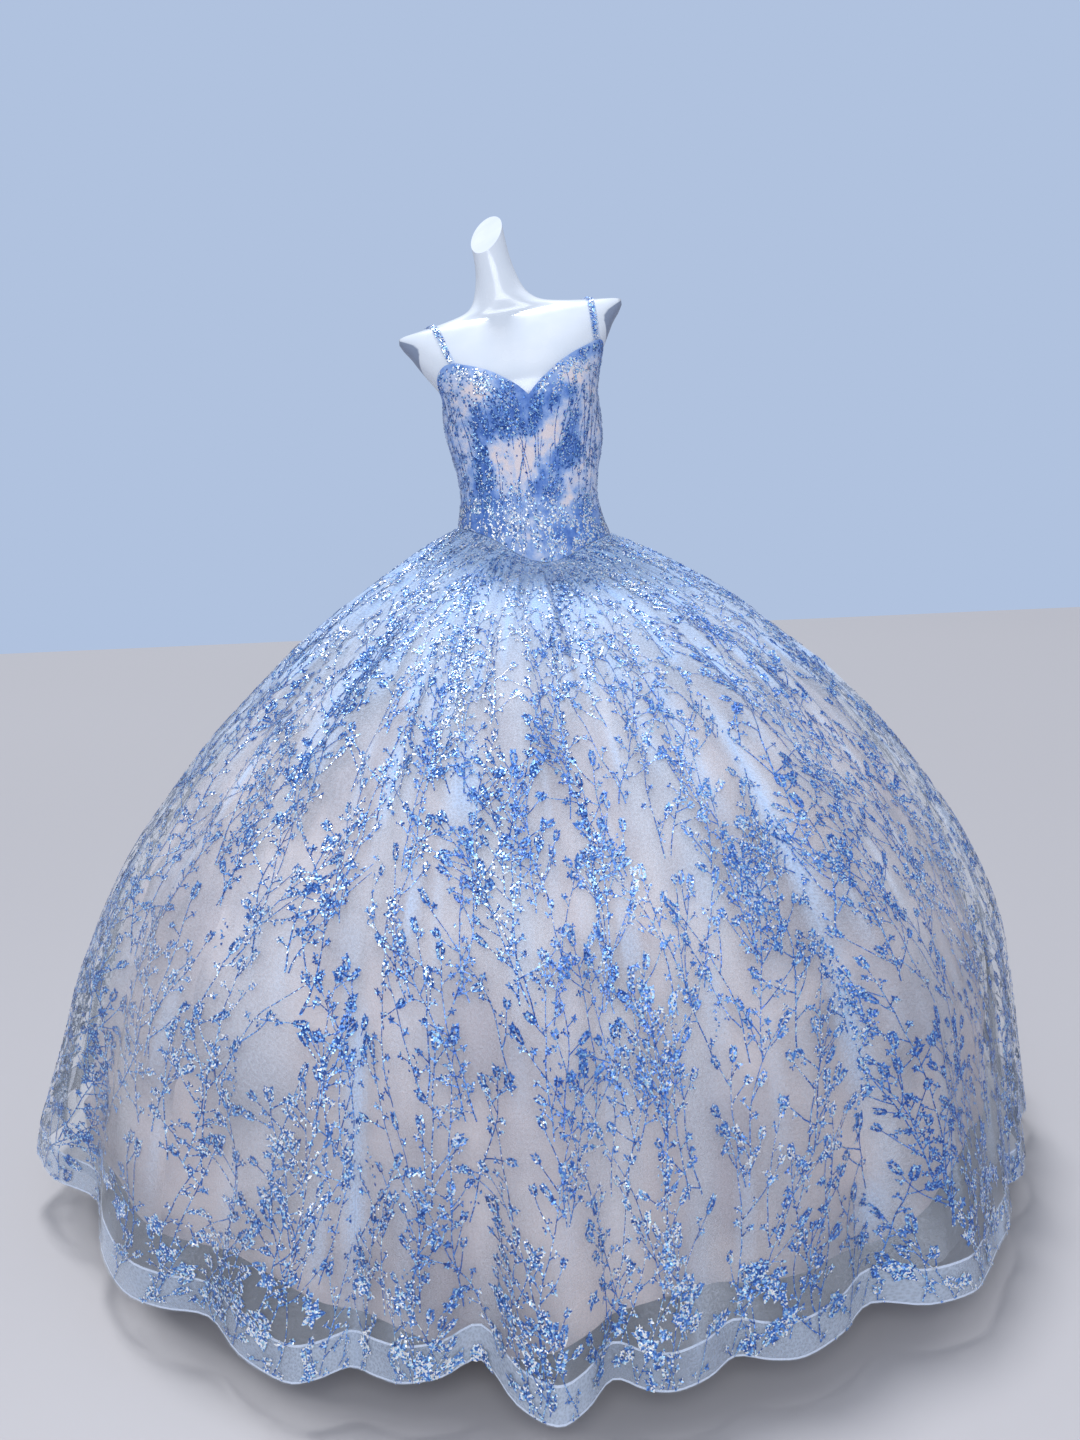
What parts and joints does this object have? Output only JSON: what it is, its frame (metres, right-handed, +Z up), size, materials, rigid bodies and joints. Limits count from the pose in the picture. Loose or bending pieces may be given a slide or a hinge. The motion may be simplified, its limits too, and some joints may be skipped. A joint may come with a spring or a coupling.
{
  "type": "ball gown on a limbless dress form",
  "caption": "Full-length ball gown with narrow straps, fitted bodice and gathered glitter tulle dome skirt on a gloss form with round foot.",
  "frame": {"origin": "centre of the foot's flat underside, on the floor under the form's pole", "axes": "+Z up, the gown's front faces -Y, +X to the viewer's right"},
  "size_m": [1.6879, 1.6957, 1.531],
  "materials": {
    "glitter_tulle": "fine pale blue tulle printed with blue glitter sprigs",
    "bodice_cloth": "blush lining under blue glitter tulle",
    "sheer_sides": "sheer blue-grey glitter tulle",
    "hem_band": "firm pale blue-white net band",
    "plain_tulle": "plain white tulle",
    "satin_lining": "matt blush satin",
    "form_gloss": "glossy white moulded shell",
    "stand_metal": "pale grey powder coat"
  },
  "bodies": {
    "root": {"overskirt_front": "glitter_tulle", "overskirt_side_front_right": "glitter_tulle", "overskirt_side_back_right": "glitter_tulle", "overskirt_back_right": "glitter_tulle", "overskirt_back_left": "glitter_tulle", "overskirt_side_back_left": "glitter_tulle", "overskirt_side_front_left": "glitter_tulle", "strap_left": "glitter_tulle", "strap_right": "glitter_tulle", "bodice_front": "bodice_cloth", "bodice_side_front_right": "bodice_cloth", "bodice_back_right": "bodice_cloth", "bodice_back_left": "bodice_cloth", "bodice_side_front_left": "bodice_cloth", "back_placket": "bodice_cloth", "bodice_side_right": "sheer_sides", "bodice_side_left": "sheer_sides", "hem_band_front": "hem_band", "hem_band_right": "hem_band", "hem_band_back": "hem_band", "hem_band_left": "hem_band", "tulle_front": "plain_tulle", "tulle_right": "plain_tulle", "tulle_back": "plain_tulle", "tulle_left": "plain_tulle", "lining_front": "satin_lining", "lining_side_right": "satin_lining", "lining_back_right": "satin_lining", "lining_back_left": "satin_lining", "lining_side_left": "satin_lining", "form_torso": "form_gloss", "form_pole": "stand_metal", "form_base": "stand_metal"}
  },
  "joints": []
}
